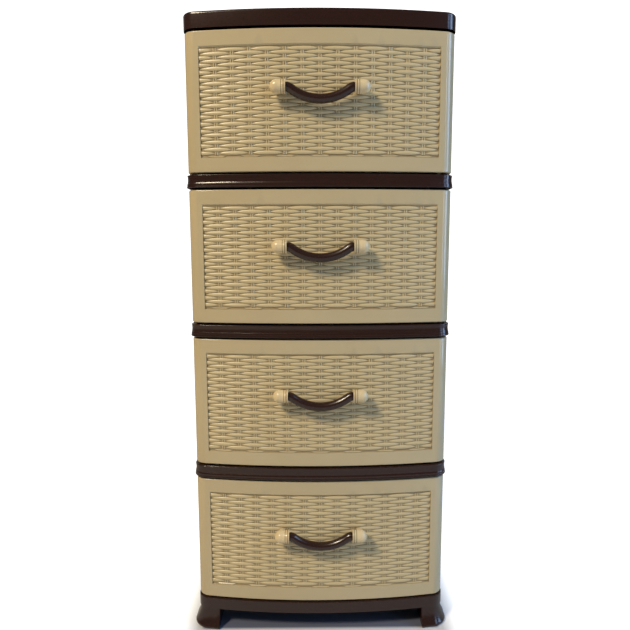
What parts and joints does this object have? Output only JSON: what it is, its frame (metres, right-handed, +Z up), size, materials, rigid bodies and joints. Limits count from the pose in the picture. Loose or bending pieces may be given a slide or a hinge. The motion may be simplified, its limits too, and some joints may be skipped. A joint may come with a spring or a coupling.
{
  "type": "drawer tower",
  "caption": "Free-standing plastic drawer tower with woven-pattern cream fronts, dark brown frames, swinging bail handles and flared feet.",
  "frame": {"origin": "on the floor, in the middle of the whole object's width and depth", "axes": "+Z up, the drawers open towards -Y, +X is to the right for someone facing the fronts"},
  "size_m": [0.418, 0.4824, 0.959],
  "materials": {
    "drawer_cream": "injection moulded polypropylene, semi-gloss, woven relief",
    "box_cream": "injection moulded polypropylene, satin",
    "panel_cream": "injection moulded polypropylene, semi-gloss",
    "cap_cream": "injection moulded ABS, glossy",
    "frame_brown": "injection moulded polypropylene, semi-gloss",
    "bail_brown": "injection moulded ABS, semi-gloss",
    "screw_steel": "zinc plated"
  },
  "bodies": {
    "cabinet": {"top_cover": "frame_brown", "spacer_frame_1": "frame_brown", "spacer_frame_2": "frame_brown", "spacer_frame_3": "frame_brown", "base_frame": "frame_brown", "side_panel_left_1": "panel_cream", "side_panel_left_2": "panel_cream", "side_panel_left_3": "panel_cream", "side_panel_left_4": "panel_cream", "side_panel_right_1": "panel_cream", "side_panel_right_2": "panel_cream", "side_panel_right_3": "panel_cream", "side_panel_right_4": "panel_cream", "rear_panel_1": "panel_cream", "rear_panel_2": "panel_cream", "rear_panel_3": "panel_cream", "rear_panel_4": "panel_cream", "foot_front_left": "frame_brown", "foot_front_right": "frame_brown", "foot_rear_left": "frame_brown", "foot_rear_right": "frame_brown"},
    "drawer_1": {"drawer_box_1": "box_cream", "drawer_front_1": "drawer_cream", "handle_cap_left_1": "cap_cream", "handle_cap_right_1": "cap_cream", "handle_screws_1": "screw_steel"},
    "bail_1": {"handle_bail_1": "bail_brown"},
    "drawer_2": {"drawer_box_2": "box_cream", "drawer_front_2": "drawer_cream", "handle_cap_left_2": "cap_cream", "handle_cap_right_2": "cap_cream", "handle_screws_2": "screw_steel"},
    "bail_2": {"handle_bail_2": "bail_brown"},
    "drawer_3": {"drawer_box_3": "box_cream", "drawer_front_3": "drawer_cream", "handle_cap_left_3": "cap_cream", "handle_cap_right_3": "cap_cream", "handle_screws_3": "screw_steel"},
    "bail_3": {"handle_bail_3": "bail_brown"},
    "drawer_4": {"drawer_box_4": "box_cream", "drawer_front_4": "drawer_cream", "handle_cap_left_4": "cap_cream", "handle_cap_right_4": "cap_cream", "handle_screws_4": "screw_steel"},
    "bail_4": {"handle_bail_4": "bail_brown"}
  },
  "joints": [
    {"name": "drawer_1_slide", "type": "slide", "parent": "cabinet", "child": "drawer_1", "axis": [0, -1, 0], "range_m": [0, 0.32]},
    {"name": "drawer_2_slide", "type": "slide", "parent": "cabinet", "child": "drawer_2", "axis": [0, -1, 0], "range_m": [0, 0.32]},
    {"name": "drawer_3_slide", "type": "slide", "parent": "cabinet", "child": "drawer_3", "axis": [0, -1, 0], "range_m": [0, 0.32]},
    {"name": "drawer_4_slide", "type": "slide", "parent": "cabinet", "child": "drawer_4", "axis": [0, -1, 0], "range_m": [0, 0.32]},
    {"name": "bail_1_swing", "type": "hinge", "parent": "drawer_1", "child": "bail_1", "pos_m": [0, -0.23075, 0.8475], "axis": [-1, 0, 0], "range_deg": [-15, 195]},
    {"name": "bail_2_swing", "type": "hinge", "parent": "drawer_2", "child": "bail_2", "pos_m": [0, -0.23075, 0.6215], "axis": [-1, 0, 0], "range_deg": [-15, 195]},
    {"name": "bail_3_swing", "type": "hinge", "parent": "drawer_3", "child": "bail_3", "pos_m": [0, -0.23075, 0.3955], "axis": [-1, 0, 0], "range_deg": [-15, 195]},
    {"name": "bail_4_swing", "type": "hinge", "parent": "drawer_4", "child": "bail_4", "pos_m": [0, -0.23075, 0.1695], "axis": [-1, 0, 0], "range_deg": [-15, 195]}
  ]
}
